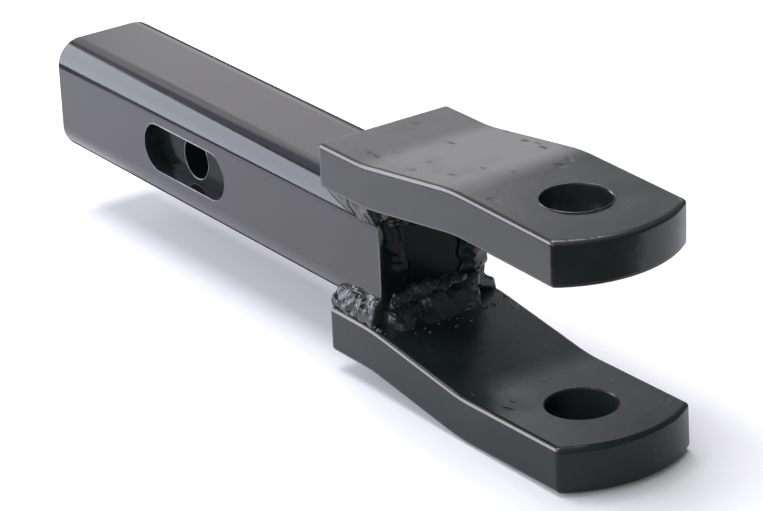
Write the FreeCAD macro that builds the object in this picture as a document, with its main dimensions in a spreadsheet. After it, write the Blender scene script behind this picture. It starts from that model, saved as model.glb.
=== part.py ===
"""Clevis tow hitch for a 2 inch receiver.

A square tube shank holds a solid core with the hitch-pin hole. Two flat bars, each with a double bend
that spreads the mouth, are welded above and below the shank's front end and carry the clevis pin.

The origin is the middle of the mouth on the clevis pin's axis. +X points out of the mouth, +Z points up
along the pin's axis, and the shank runs towards -X. Sizes are in millimetres and degrees.
"""

import FreeCAD, Part
import math
import os

import Sketcher

Vector = FreeCAD.Vector

# Driving sizes: alias, value, what it measures
SIZES = [
    ("shank_side", 50.8, "outside of the square tube, both ways"),
    ("tube_wall", 6.35, "wall of the square tube"),
    ("tube_corner", 11.6, "outside corner radius of the square tube"),
    ("tube_inner_corner", 5.2, "inside corner radius of the square tube"),
    ("shank_length", 245.4, "length of the square tube"),
    ("pin_to_shank", 95.3, "clevis pin axis to the front end of the shank"),
    ("slot_length", 62.6, "long slot through both side walls of the tube"),
    ("slot_height", 21.4, "height of that slot"),
    ("hitch_pin_to_front", 144.0, "hitch-pin axis to the front end of the shank"),
    ("hitch_pin_bore", 18.3, "bore of the hitch-pin hole through the core"),
    ("core_clearance", 0.1, "gap between the core and the tube, each side"),
    ("core_setback", 1.2, "the core's ends lie this far inside the tube's ends"),
    ("bar_width", 63.5, "width of the flat bar"),
    ("bar_thickness", 19.05, "thickness of the flat bar"),
    ("bar_edge_radius", 2.0, "rounded edges of the flat bar"),
    ("bar_corner_radius", 2.4, "rounded corners of its nose and tail, seen from above"),
    ("upper_tail", 31.1, "the upper bar lies this far back along the shank"),
    ("lower_tail", 28.6, "the lower bar lies this far back along the shank"),
    ("mouth_gap", 65.8, "between the bars at the clevis pin axis"),
    ("bend_start", 6.0, "the first bend starts this far behind the shank's front end"),
    ("bend_radius", 89.5, "middle radius of both bends"),
    ("ramp_angle", 7.8, "slope of the bar between its two bends"),
    ("pinch_angle", 1.0, "slope of the bar's front run, closing towards the nose"),
    ("nose_reach", 36.6, "clevis pin axis to the tip of the nose"),
    ("nose_radius", 52.0, "radius of the nose seen from above"),
    ("clevis_bore", 28.2, "bore of the clevis pin holes"),
    ("bore_chamfer", 0.6, "softened rims of the clevis pin holes"),
    ("side_bare_ledge", 1.2, "side weld: width of the bar's ledge that it leaves bare"),
    ("side_toe_tube", 10.6, "side weld: height up the tube's side"),
    ("side_root", 7.4, "side weld: its root lies this far in from the tube's side"),
    ("front_toe_bar", 10.5, "front weld: reach along the bar"),
    ("front_toe_tube", 11.5, "front weld: height up the tube's front end"),
    ("rear_toe_tube", 6.0, "rear weld: reach along the tube"),
    ("rear_toe_bar", 9.0, "rear weld: height up the bar's tail"),
    ("rear_wrap", 2.2, "rear weld: its ends pass the tube's sides by this much"),
    ("end_weld_width", 11.0, "weld over the seam between tube and core"),
    ("end_weld_height", 1.8, "how far that weld stands out"),
    ("end_weld_offset", 0.8, "that weld is centred this far in from the tube's wall"),
    ("weld_crown", 1.4, "how far a fillet weld's face bulges"),
    ("weld_root", 0.5, "how deep a weld reaches into its bar and tube before they are cut from it"),
    ("ripple_pitch", 6.5, "spacing of the ripples along a weld"),
    ("ripple_depth", 0.12, "share of its bulge that a weld loses between two ripples"),
    ("weld_end_taper", 0.9, "size of a weld's first and last section, as a share"),
]

# Chords across a weld's bulging face, how close two numbers are that count as the same, and the cosines
# between which a line counts as upright and a face as a wall, though the front runs lean a little
CROWN_CHORDS = 3
MATCH = 1e-6
UPRIGHT = 0.99
LEAN = 0.1

doc = FreeCAD.newDocument("clevis_tow_hitch")
sheet = doc.addObject("Spreadsheet::Sheet", "Sizes")
for row, (alias, number, note) in enumerate(SIZES, start=1):
    sheet.set(f"A{row}", alias)
    sheet.set(f"B{row}", str(number))
    sheet.set(f"C{row}", note)
    sheet.setAlias(f"B{row}", alias)
doc.recompute()


def size(alias):
    """The number in the sheet under this alias."""
    return float(sheet.get(alias))


def cell(alias):
    """The alias as an expression writes it."""
    return f"Sizes.{alias}"


# Helpers for bodies and sketches


def check(label):
    """Stop with a message if any object so far has failed."""
    failed = [f"{item.Label}: {item.State}" for item in doc.Objects if {"Invalid", "Error"} & set(item.State)]
    if failed:
        raise RuntimeError(f"after {label}: " + "; ".join(failed))


def new_body(label):
    body = doc.addObject("PartDesign::Body", label)
    body.Label = label
    return body


def origin_plane(body, role):
    """The body's own XY_Plane, XZ_Plane or YZ_Plane."""
    return next(f for f in body.Origin.OriginFeatures if f.Role == role)


def lay_on(body, item, role):
    """Attach a sketch or a solid to one of the body's origin planes."""
    item.AttachmentSupport = [(origin_plane(body, role), "")]
    item.MapMode = "FlatFace"
    return item


def new_sketch(body, name, role):
    return lay_on(body, body.newObject("Sketcher::SketchObject", name), role)


def turned(axis, degrees):
    """An attachment offset that turns an item about an axis of its plane."""
    return FreeCAD.Placement(Vector(0, 0, 0), FreeCAD.Rotation(axis, degrees))


def bind(sketch, constraint, expression):
    """Add a constraint with a value and tie the value to an expression."""
    index = sketch.addConstraint(constraint)
    sketch.setExpression(f"Constraints[{index}]", expression)


def join(sketch, kind, *ends):
    """Add a constraint without a value, such as Tangent, Coincident or Horizontal."""
    sketch.addConstraint(Sketcher.Constraint(kind, *ends))


def arc(centre, radius, start, end):
    """An arc in a sketch, angles in degrees, drawn anticlockwise."""
    circle = Part.Circle(centre, Vector(0, 0, 1), radius)
    return Part.ArcOfCircle(circle, math.radians(start), math.radians(end))


def edges_where(shape, test):
    """Names of the edges that pass the test."""
    return [f"Edge{index}" for index, edge in enumerate(shape.Edges, start=1) if test(edge)]


def is_straight_along(edge, axis, cosine=1 - MATCH):
    """Is this edge a straight line in the axis's direction, or near it where the cosine is lower?"""
    return isinstance(edge.Curve, Part.Line) and abs(edge.Curve.Direction.dot(axis)) > cosine


def fillet(body, name, names, radius):
    """Round the named edges of the body's tip by an expression."""
    base = body.Tip
    feature = body.newObject("PartDesign::Fillet", name)
    feature.Base = (base, names)
    feature.setExpression("Radius", radius)
    doc.recompute()
    check(name)
    return feature


def cut_from_sketch(body, name, sketch):
    """Cut a sketch right through the body both ways, and make sure that it takes material."""
    before = body.Tip.Shape.Volume
    pocket = body.newObject("PartDesign::Pocket", name)
    pocket.Profile = sketch
    pocket.Type = "ThroughAll"
    pocket.Midplane = True
    doc.recompute()
    check(name)
    if not pocket.Shape.Volume < before - 1:
        raise RuntimeError(f"{name} cuts nothing")
    return pocket


# The shank: a square tube and the core inside it


def square_bar(body, name, side, length, back, corner, cutting=False):
    """A bar along X, centred on the X axis, with its four long edges rounded. Arguments are expressions."""
    kind = "PartDesign::SubtractiveBox" if cutting else "PartDesign::AdditiveBox"
    bar = lay_on(body, body.newObject(kind, name), "XY_Plane")
    bar.setExpression("Length", length)
    bar.setExpression("Width", side)
    bar.setExpression("Height", side)
    bar.setExpression("AttachmentOffset.Base.x", back)
    bar.setExpression("AttachmentOffset.Base.y", f"-({side}) / 2")
    bar.setExpression("AttachmentOffset.Base.z", f"-({side}) / 2")
    doc.recompute()
    half = bar.Width.Value / 2

    def is_corner(edge):
        middle = edge.CenterOfMass
        return (
            is_straight_along(edge, Vector(1, 0, 0))
            and abs(abs(middle.y) - half) < MATCH
            and abs(abs(middle.z) - half) < MATCH
        )

    fillet(body, name + "_corners", edges_where(bar.Shape, is_corner), corner)
    return bar


def shank_tube():
    """Square tube with rounded corners and a long slot through both side walls."""
    body = new_body("shank_tube")
    back = "-(Sizes.pin_to_shank + Sizes.shank_length)"
    inner_side = "Sizes.shank_side - 2 * Sizes.tube_wall"
    square_bar(body, "tube_outside", cell("shank_side"), cell("shank_length"), back, cell("tube_corner"))
    square_bar(
        body, "tube_inside", inner_side, cell("shank_length"), back, cell("tube_inner_corner"), cutting=True
    )
    sketch = new_sketch(body, "slot_outline", "XZ_Plane")
    radius = size("slot_height") / 2
    half_run = (size("slot_length") - size("slot_height")) / 2
    middle = -(size("pin_to_shank") + size("hitch_pin_to_front"))
    front, rear = Vector(middle + half_run, 0, 0), Vector(middle - half_run, 0, 0)
    down, up = Vector(0, -radius, 0), Vector(0, radius, 0)
    bottom, front_arc, top, rear_arc = sketch.addGeometry(
        [
            Part.LineSegment(rear + down, front + down),
            arc(front, radius, -90, 90),
            Part.LineSegment(front + up, rear + up),
            arc(rear, radius, 90, 270),
        ],
        False,
    )
    for first, second in ((bottom, front_arc), (front_arc, top), (top, rear_arc), (rear_arc, bottom)):
        join(sketch, "Tangent", first, 2, second, 1)
    join(sketch, "PointOnObject", front_arc, 3, -1)
    join(sketch, "PointOnObject", rear_arc, 3, -1)
    bind(sketch, Sketcher.Constraint("Radius", front_arc, radius), "Sizes.slot_height / 2")
    run = "(Sizes.slot_length - Sizes.slot_height)"
    pin = "(Sizes.pin_to_shank + Sizes.hitch_pin_to_front)"
    for slot_end, place, sign in ((front_arc, front, "-"), (rear_arc, rear, "+")):
        distance = Sketcher.Constraint("DistanceX", slot_end, 3, -1, 1, -place.x)
        bind(sketch, distance, f"{pin} {sign} {run} / 2")
    doc.recompute()
    cut_from_sketch(body, "pin_slots", sketch)
    return body


def shank_core():
    """Solid square bar that fills the tube and takes the hitch pin in a cross hole."""
    body = new_body("shank_core")
    side = "Sizes.shank_side - 2 * (Sizes.tube_wall + Sizes.core_clearance)"
    length = "Sizes.shank_length - 2 * Sizes.core_setback"
    back = "-(Sizes.pin_to_shank + Sizes.shank_length - Sizes.core_setback)"
    square_bar(body, "core_bar", side, length, back, cell("tube_inner_corner"))
    sketch = new_sketch(body, "hitch_pin_circle", "XZ_Plane")
    radius = size("hitch_pin_bore") / 2
    middle = size("pin_to_shank") + size("hitch_pin_to_front")
    circle = sketch.addGeometry(Part.Circle(Vector(-middle, 0, 0), Vector(0, 0, 1), radius), False)
    join(sketch, "PointOnObject", circle, 3, -1)
    distance = Sketcher.Constraint("DistanceX", circle, 3, -1, 1, middle)
    bind(sketch, distance, "Sizes.pin_to_shank + Sizes.hitch_pin_to_front")
    bind(sketch, Sketcher.Constraint("Diameter", circle, 2 * radius), cell("hitch_pin_bore"))
    doc.recompute()
    cut_from_sketch(body, "hitch_pin_hole", sketch)
    return body


# The two bent bars


def bar_face_line(offset, tail):
    """Points and arcs of one long face of the upper bar, seen from the side.

    offset counts from the face on the tube: 0 for that face, the thickness for the other one. The face lies
    flat on the tube, bends up the ramp, bends back over, and its front run closes towards the nose. The face
    on the tube is half the mouth's gap from the middle at the clevis pin's axis.
    """
    seat, half_gap = size("shank_side") / 2, size("mouth_gap") / 2
    up_radius = size("bend_radius") + size("bar_thickness") / 2
    over_radius = size("bend_radius") - size("bar_thickness") / 2
    ramp, pinch = math.radians(size("ramp_angle")), math.radians(size("pinch_angle"))
    bend_x = -(size("pin_to_shank") + size("bend_start"))
    first_centre = Vector(bend_x, seat + up_radius, 0)
    foot = first_centre + Vector(math.sin(ramp), -math.cos(ramp), 0) * up_radius
    # The ramp is as long as it takes for the front run to meet the mouth's gap at the pin's axis.
    rise = half_gap - foot.y + over_radius * (math.cos(ramp) - 1 / math.cos(pinch))
    drop = math.tan(pinch) * (foot.x + over_radius * math.sin(ramp))
    ramp_length = (rise - drop) / (math.sin(ramp) + math.tan(pinch) * math.cos(ramp))
    second_centre = foot + Vector(math.cos(ramp), math.sin(ramp), 0) * ramp_length
    second_centre += Vector(math.sin(ramp), -math.cos(ramp), 0) * over_radius
    up_radius -= offset
    over_radius += offset
    nose_x = size("nose_reach") + size("bar_edge_radius")
    front_start = second_centre + Vector(math.sin(pinch), math.cos(pinch), 0) * over_radius
    front_end = Vector(nose_x, front_start.y - math.tan(pinch) * (nose_x - front_start.x), 0)
    back_start = Vector(-(size("pin_to_shank") + size(tail)), seat + offset, 0)
    ramp_start = first_centre + Vector(math.sin(ramp), -math.cos(ramp), 0) * up_radius
    ramp_end = second_centre + Vector(-math.sin(ramp), math.cos(ramp), 0) * over_radius
    return [
        Part.LineSegment(back_start, Vector(bend_x, seat + offset, 0)),
        arc(first_centre, up_radius, 270, 270 + size("ramp_angle")),
        Part.LineSegment(ramp_start, ramp_end),
        arc(second_centre, over_radius, 90 - size("pinch_angle"), 90 + size("ramp_angle")),
        Part.LineSegment(front_start, front_end),
    ]


def bar_side_view(body, tail, upside_down):
    """Closed outline of a bent bar seen from the side. For the lower bar the sketch is turned over."""
    sketch = new_sketch(body, "side_view", "XZ_Plane")
    if upside_down:
        sketch.AttachmentOffset = turned(Vector(1, 0, 0), 180)
    thick = size("bar_thickness")
    seat_face = bar_face_line(0, tail)
    outer_face = bar_face_line(thick, tail)
    on_seat = list(sketch.addGeometry(seat_face, False))
    on_outer = list(sketch.addGeometry(outer_face, False))
    tail_line, nose_line = sketch.addGeometry(
        [
            Part.LineSegment(seat_face[0].StartPoint, outer_face[0].StartPoint),
            Part.LineSegment(seat_face[-1].EndPoint, outer_face[-1].EndPoint),
        ],
        False,
    )
    for back, bend_up, ramp, bend_over, front in (on_seat, on_outer):
        join(sketch, "Tangent", back, 2, bend_up, 1)
        join(sketch, "Tangent", bend_up, 2, ramp, 1)
        join(sketch, "Tangent", ramp, 2, bend_over, 2)
        join(sketch, "Tangent", bend_over, 1, front, 1)
        join(sketch, "Horizontal", back)
    for end_line, seat_end, outer_end in (
        (tail_line, (on_seat[0], 1), (on_outer[0], 1)),
        (nose_line, (on_seat[-1], 2), (on_outer[-1], 2)),
    ):
        join(sketch, "Coincident", end_line, 1, *seat_end)
        join(sketch, "Coincident", end_line, 2, *outer_end)
        join(sketch, "Vertical", end_line)
    join(sketch, "Coincident", on_seat[1], 3, on_outer[1], 3)
    join(sketch, "Coincident", on_seat[3], 3, on_outer[3], 3)
    join(sketch, "Parallel", on_seat[2], on_outer[2])
    join(sketch, "Parallel", on_seat[4], on_outer[4])

    back, bend_up, ramp, bend_over, front = on_seat
    back_line, front_line = seat_face[0], seat_face[-1]
    tail_x, bend_x, seat = back_line.StartPoint.x, back_line.EndPoint.x, back_line.StartPoint.y
    nose = front_line.EndPoint
    bind(sketch, Sketcher.Constraint("DistanceY", -1, 1, back, 1, seat), "Sizes.shank_side / 2")
    bind(sketch, Sketcher.Constraint("DistanceY", tail_line, 1, tail_line, 2, thick), cell("bar_thickness"))
    tail_reach = f"Sizes.pin_to_shank + Sizes.{tail}"
    bind(sketch, Sketcher.Constraint("DistanceX", back, 1, -1, 1, -tail_x), tail_reach)
    bend_reach = "Sizes.pin_to_shank + Sizes.bend_start"
    bind(sketch, Sketcher.Constraint("DistanceX", back, 2, -1, 1, -bend_x), bend_reach)
    radii = "Sizes.bend_radius {} Sizes.bar_thickness / 2"
    bind(sketch, Sketcher.Constraint("Radius", bend_up, seat_face[1].Radius), radii.format("+"))
    bind(sketch, Sketcher.Constraint("Radius", bend_over, seat_face[3].Radius), radii.format("-"))
    ramp_angle, pinch_angle = math.radians(size("ramp_angle")), math.radians(size("pinch_angle"))
    bind(sketch, Sketcher.Constraint("Angle", ramp, ramp_angle), "Sizes.ramp_angle * 1 deg")
    bind(sketch, Sketcher.Constraint("Angle", front, -pinch_angle), "-Sizes.pinch_angle * 1 deg")
    nose_run = "(Sizes.nose_reach + Sizes.bar_edge_radius)"
    bind(sketch, Sketcher.Constraint("DistanceX", -1, 1, front, 2, nose.x), nose_run)
    nose_height = f"Sizes.mouth_gap / 2 - tan(Sizes.pinch_angle * 1 deg) * {nose_run}"
    bind(sketch, Sketcher.Constraint("DistanceY", -1, 1, front, 2, nose.y), nose_height)
    doc.recompute()
    return sketch


def nose_cutter(body, side):
    """Outline in plan of what is trimmed off in front of the rounded nose, square to the bar's front run."""
    sketch = new_sketch(body, "nose_outline", "XY_Plane")
    sketch.AttachmentOffset = turned(Vector(0, 1, 0), side * size("pinch_angle"))
    bar_middle = "(Sizes.mouth_gap + Sizes.bar_thickness) / 2"
    sketch.setExpression("AttachmentOffset.Base.x", f"-tan(Sizes.pinch_angle * 1 deg) * {bar_middle}")
    radius, tip = size("nose_radius"), size("nose_reach")
    centre = tip - radius
    half = size("bar_width") / 2 + size("bar_edge_radius")
    spread = math.degrees(math.asin(half / radius))
    far = tip + 2 * size("bar_edge_radius")
    corner = centre + math.sqrt(radius**2 - half**2)
    nose, left, front, right = sketch.addGeometry(
        [
            arc(Vector(centre, 0, 0), radius, -spread, spread),
            Part.LineSegment(Vector(corner, half, 0), Vector(far, half, 0)),
            Part.LineSegment(Vector(far, half, 0), Vector(far, -half, 0)),
            Part.LineSegment(Vector(far, -half, 0), Vector(corner, -half, 0)),
        ],
        False,
    )
    for first, second in ((nose, left), (left, front), (front, right), (right, nose)):
        join(sketch, "Coincident", first, 2, second, 1)
    join(sketch, "Horizontal", left)
    join(sketch, "Horizontal", right)
    join(sketch, "PointOnObject", nose, 3, -1)
    join(sketch, "Symmetric", front, 1, front, 2, -1)
    bind(sketch, Sketcher.Constraint("Radius", nose, radius), cell("nose_radius"))
    middle = "Sizes.nose_radius - Sizes.nose_reach"
    bind(sketch, Sketcher.Constraint("DistanceX", nose, 3, -1, 1, -centre), middle)
    width = "Sizes.bar_width + 2 * Sizes.bar_edge_radius"
    bind(sketch, Sketcher.Constraint("DistanceY", front, 2, front, 1, 2 * half), width)
    reach = "Sizes.nose_reach + 2 * Sizes.bar_edge_radius"
    bind(sketch, Sketcher.Constraint("DistanceX", -1, 1, front, 1, far), reach)
    doc.recompute()
    return sketch


def countersink(body, name, side, height, opening):
    """Chamfer on a rim of the clevis pin's bore, square to the front run. opening is 1 where it faces up."""
    cone = lay_on(body, body.newObject("PartDesign::SubtractiveCone", name), "XY_Plane")
    cone.AttachmentOffset = turned(Vector(0, 1, 0), side * size("pinch_angle"))
    # The cone runs from two chamfers below the face to one above it, and grows by as much.
    narrow, wide = "Sizes.clevis_bore / 2 - Sizes.bore_chamfer", "Sizes.clevis_bore / 2 + 2 * Sizes.bore_chamfer"
    below = 2 if opening > 0 else 1
    cone.setExpression("Radius1", narrow if opening > 0 else wide)
    cone.setExpression("Radius2", wide if opening > 0 else narrow)
    cone.setExpression("Height", "3 * Sizes.bore_chamfer")
    cone.setExpression("AttachmentOffset.Base.z", f"{side} * ({height}) - {below} * Sizes.bore_chamfer")
    doc.recompute()
    check(name)


def clevis_plate(label, side, tail):
    """A flat bar with a double bend, a rounded nose, worn edges and the clevis pin's bore. side is 1 above."""
    body = new_body(label)
    bar = body.newObject("PartDesign::Pad", "bent_bar")
    bar.Profile = bar_side_view(body, tail, side < 0)
    bar.Midplane = True
    bar.setExpression("Length", cell("bar_width"))
    doc.recompute()
    check("bent_bar")
    cut_from_sketch(body, "nose_trim", nose_cutter(body, side))

    def is_upright(edge):
        return is_straight_along(edge, Vector(0, 0, 1), UPRIGHT)

    fillet(body, "worn_corners", edges_where(body.Tip.Shape, is_upright), cell("bar_corner_radius"))
    walls = [face for face in body.Tip.Shape.Faces if abs(face.normalAt(0, 0).z) < LEAN]
    rims = [edge for face in walls for edge in face.Edges]

    def is_rim(edge):
        return any(edge.isSame(rim) for rim in rims) and not is_upright(edge)

    fillet(body, "worn_edges", edges_where(body.Tip.Shape, is_rim), cell("bar_edge_radius"))

    sketch = new_sketch(body, "clevis_pin_circle", "XY_Plane")
    radius = size("clevis_bore") / 2
    circle = sketch.addGeometry(Part.Circle(Vector(0, 0, 0), Vector(0, 0, 1), radius), False)
    join(sketch, "Coincident", circle, 3, -1, 1)
    bind(sketch, Sketcher.Constraint("Diameter", circle, 2 * radius), cell("clevis_bore"))
    doc.recompute()
    cut_from_sketch(body, "clevis_pin_hole", sketch)
    inner = "Sizes.mouth_gap / 2"
    outer = f"{inner} + Sizes.bar_thickness / cos(Sizes.pinch_angle * 1 deg)"
    countersink(body, "inner_rim", side, inner, -side)
    countersink(body, "outer_rim", side, outer, side)
    return body


# Welds: each is a rippled ridge with the pieces that it joins cut out of it


def ripple_stations(start, end):
    """Places along a weld, each with the share of its full size and of its bulge that the weld has there."""
    ripples = max(3, round(abs(end - start) / size("ripple_pitch")))
    last = 2 * ripples
    stations = []
    for step in range(last + 1):
        share = size("weld_end_taper") if step in (0, last) else 1
        bulge = share if step % 2 else share * (1 - size("ripple_depth"))
        stations.append((start + (end - start) * step / last, share, bulge))
    return stations


def crowned(start, end, outward, crown):
    """Points from one toe of a weld to the other, on a parabola whose middle stands out by the crown."""
    points = []
    for step in range(CROWN_CHORDS + 1):
        along = step / CROWN_CHORDS
        points.append(start + (end - start) * along + outward * crown * 4 * along * (1 - along))
    return points


def add_weld(label, sections, *neighbours):
    """A solid through the sections, without what its neighbours take up. The largest piece is the weld."""
    wires = [Part.makePolygon(points + points[:1]) for points in sections]
    ridge = Part.makeLoft(wires, True, True)
    trimmed = ridge.cut([neighbour.Shape for neighbour in neighbours])
    weld = doc.addObject("Part::Feature", label)
    weld.Label = label
    weld.Shape = max(trimmed.Solids, key=lambda solid: solid.Volume)
    return weld


def tube_height(y):
    """Height of the tube's top above its middle, at a distance from the middle, over the rounded corner too."""
    corner, half = size("tube_corner"), size("shank_side") / 2
    past_flat = min(max(abs(y) - (half - corner), 0), corner)
    return half - corner + math.sqrt(corner**2 - past_flat**2)


def rear_weld(label, side, tail, *neighbours):
    """Fillet across the tube against a bar's tail, which wraps round the tail's corners. side is 1 above."""
    rear = -(size("pin_to_shank") + size(tail))
    seat, root = size("shank_side") / 2, size("weld_root")
    reach = seat + size("rear_wrap")
    lowest = tube_height(reach) - root
    outward = Vector(-1, 0, side).normalize()
    sections = []
    for y, share, bulge in ripple_stations(-reach, reach):
        toe = Vector(rear - size("rear_toe_tube") * share, y, side * (tube_height(y) - root))
        top = Vector(rear + root, y, side * (seat + size("rear_toe_bar") * share))
        heel = Vector(rear + size("bar_corner_radius"), y, side * lowest)
        lip = Vector(heel.x, y, top.z)
        sections.append(crowned(toe, top, outward, size("weld_crown") * bulge) + [lip, heel])
    return add_weld(label, sections, *neighbours)


def side_weld(label, side, hand, tail, *neighbours):
    """Fillet in the corner between a bar's ledge and the tube's rounded side. hand is -1 on the -Y side."""
    half, root = size("shank_side") / 2, size("weld_root")
    front = -size("pin_to_shank")
    rear = front - size(tail) - size("rear_toe_tube") / 2
    ledge = (size("bar_width") - size("shank_side")) / 2 - size("side_bare_ledge")
    outward = Vector(0, hand, -side).normalize()
    sections = []
    for x, share, bulge in ripple_stations(rear, front):
        toe_height = half - size("side_toe_tube") * share
        # The square tube's corner is the same from above as from the side.
        toe_depth = tube_height(toe_height) - root
        bar_toe = Vector(x, hand * (half + ledge * share), side * (half + root))
        tube_toe = Vector(x, hand * toe_depth, side * toe_height)
        inside = Vector(x, hand * (half - size("side_root")), tube_toe.z)
        above = Vector(x, inside.y, bar_toe.z)
        sections.append(crowned(bar_toe, tube_toe, outward, size("weld_crown") * bulge) + [inside, above])
    return add_weld(label, sections, *neighbours)


def front_weld(label, side, *neighbours):
    """Broad fillet between the tube's front end and a bar, from one side of the tube to the other."""
    front = -size("pin_to_shank")
    bend_x = front - size("bend_start")
    half, root = size("shank_side") / 2, size("weld_root")
    seat_radius = size("bend_radius") + size("bar_thickness") / 2
    reach = half - size("end_weld_offset")
    outward = Vector(1, 0, -side).normalize()
    sections = []
    for y, share, bulge in ripple_stations(-reach, reach):
        toe_x = front + size("front_toe_bar") * share
        bar_rise = seat_radius - math.sqrt(seat_radius**2 - (toe_x - bend_x) ** 2)
        toe = Vector(toe_x, y, side * (half + bar_rise + root))
        top = Vector(front - size("core_setback"), y, side * (half - size("front_toe_tube") * share))
        heel = Vector(top.x, y, toe.z)
        sections.append(crowned(toe, top, outward, size("weld_crown") * bulge) + [heel])
    return add_weld(label, sections, *neighbours)


def end_weld(label, hand, *neighbours):
    """Low weld up the seam between the tube's side wall and the core, on the front end."""
    front = -size("pin_to_shank")
    back = front - size("core_setback")
    half = size("shank_side") / 2
    seam = half - size("tube_wall") - size("end_weld_offset")
    sections = []
    for z, share, bulge in ripple_stations(-half, half):
        spread = size("end_weld_width") / 2 * share
        near = Vector(front, hand * (seam - spread), z)
        far = Vector(front, hand * (seam + spread), z)
        sunk = Vector(back - front, 0, 0)
        crown = crowned(near, far, Vector(1, 0, 0), size("end_weld_height") * bulge)
        sections.append(crown + [far + sunk, near + sunk])
    return add_weld(label, sections, *neighbours)


tube = shank_tube()
core = shank_core()
upper_plate = clevis_plate("upper_clevis_plate", 1, "upper_tail")
lower_plate = clevis_plate("lower_clevis_plate", -1, "lower_tail")
upper_rear = rear_weld("upper_rear_weld", 1, "upper_tail", tube, upper_plate)
lower_rear = rear_weld("lower_rear_weld", -1, "lower_tail", tube, lower_plate)
upper_front = front_weld("upper_front_weld", 1, tube, upper_plate)
lower_front = front_weld("lower_front_weld", -1, tube, lower_plate)
upper_ties = (1, "upper_tail", tube, core, upper_plate, upper_rear, upper_front)
lower_ties = (-1, "lower_tail", tube, core, lower_plate, lower_rear, lower_front)


def side_pair(prefix, side, tail, *neighbours):
    """The side welds of one bar, on the near side and the far side."""
    return [
        side_weld(f"{prefix}_near_side_weld", side, -1, tail, *neighbours),
        side_weld(f"{prefix}_far_side_weld", side, 1, tail, *neighbours),
    ]


parts = [
    tube,
    core,
    upper_plate,
    lower_plate,
    *side_pair("upper", *upper_ties),
    *side_pair("lower", *lower_ties),
    upper_front,
    lower_front,
    upper_rear,
    lower_rear,
    end_weld("near_end_weld", -1, tube, core, upper_front, lower_front),
    end_weld("far_end_weld", 1, tube, core, upper_front, lower_front),
]
doc.recompute()
check("the welds")
for part in parts:
    if part.Shape.isNull() or not part.Shape.isValid():
        raise RuntimeError(f"{part.Label} has no valid shape")
    if len(part.Shape.Solids) != 1 or part.Shape.Volume <= 0:
        raise RuntimeError(f"{part.Label} isn't one solid")

os.makedirs("parts", exist_ok=True)
for part in parts:
    part.Shape.exportStep(f"parts/{part.Label}.step")
    box = part.Shape.BoundBox
    print(
        f"{part.Label:22s} volume {part.Shape.Volume:10.1f}  x {box.XMin:8.2f} {box.XMax:8.2f}"
        f"  y {box.YMin:7.2f} {box.YMax:7.2f}  z {box.ZMin:7.2f} {box.ZMax:7.2f}"
    )
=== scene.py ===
# %% [markdown]
# This notebook dresses a clevis tow hitch: a square tube that slides into a receiver, with two bent flat
# bars welded to its front end. Everything is black gloss paint over steel, so nearly all that the eye
# sees is reflection: the shape of the lights matters as much as the colour of the paint.
# The CAD model is loaded first as a fixed frame. Sizes are read from it wherever it can tell them.

# %% Load the frame
import math

import bpy
import numpy as np
from mathutils import Matrix, Vector


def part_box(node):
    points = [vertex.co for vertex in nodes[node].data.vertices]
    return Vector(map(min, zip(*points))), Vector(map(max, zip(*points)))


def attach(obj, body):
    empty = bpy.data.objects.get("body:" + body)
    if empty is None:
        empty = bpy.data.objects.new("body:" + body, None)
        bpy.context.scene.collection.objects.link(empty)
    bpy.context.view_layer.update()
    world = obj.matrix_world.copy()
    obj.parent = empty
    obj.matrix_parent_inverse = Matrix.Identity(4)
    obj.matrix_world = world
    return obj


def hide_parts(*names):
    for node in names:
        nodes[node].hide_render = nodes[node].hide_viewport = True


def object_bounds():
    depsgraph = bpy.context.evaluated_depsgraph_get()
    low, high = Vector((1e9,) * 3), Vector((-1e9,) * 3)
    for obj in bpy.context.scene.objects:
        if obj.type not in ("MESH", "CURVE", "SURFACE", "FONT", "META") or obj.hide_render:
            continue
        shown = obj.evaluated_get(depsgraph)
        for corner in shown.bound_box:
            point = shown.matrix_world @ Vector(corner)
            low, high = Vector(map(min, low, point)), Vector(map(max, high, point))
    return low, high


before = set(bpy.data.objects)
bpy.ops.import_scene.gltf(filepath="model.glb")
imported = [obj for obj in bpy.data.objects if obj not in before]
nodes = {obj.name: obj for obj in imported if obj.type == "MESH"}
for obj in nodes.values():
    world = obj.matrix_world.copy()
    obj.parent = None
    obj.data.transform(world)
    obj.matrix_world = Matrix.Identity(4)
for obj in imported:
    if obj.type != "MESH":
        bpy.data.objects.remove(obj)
cad_box = [list(corner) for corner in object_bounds()]
print("CAD box in metres:", [[round(value, 4) for value in corner] for corner in cad_box])

# %% Sizes read from the frame
tube_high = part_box("shank_tube")[1]
upper_low, upper_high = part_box("upper_clevis_plate")
lower_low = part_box("lower_clevis_plate")[0]
TUBE_HALF = tube_high.y
TUBE_FRONT = tube_high.x
BAR_HALF = upper_high.y
UPPER_TAIL = upper_low.x
LOWER_TAIL = lower_low.x
FLOOR = cad_box[0][2]
MM = 0.001
print("halves of tube and bar:", TUBE_HALF, BAR_HALF, "front:", TUBE_FRONT, "tails:", UPPER_TAIL, LOWER_TAIL)

# %% [markdown]
# A box says nothing about roundings and bends. These few sizes are the ones that the CAD model was built
# with, and the welds need them to follow the steel.

# %% Sizes from the drawing of the part
TUBE_CORNER = 11.6 * MM
BAR_THICKNESS = 19.05 * MM
BEND_RADIUS = 89.5 * MM
BEND_START = 6.0 * MM
print("bars, stock in mm:", round(BAR_THICKNESS / MM, 2), "x", round(2 * BAR_HALF / MM, 2))

# %% [markdown]
# The camera stands where the photographer stood: to the front right of the hitch and above it, far enough
# away to need a long lens. Its place and its turn were solved from the tube's straight edges, whose lengths
# are known, so the camera is set from a point, an azimuth, an elevation and a small roll, and isn't aimed
# by eye. The camera looks along its own minus Z axis, with its X axis to the right and its Y axis up.

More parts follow.
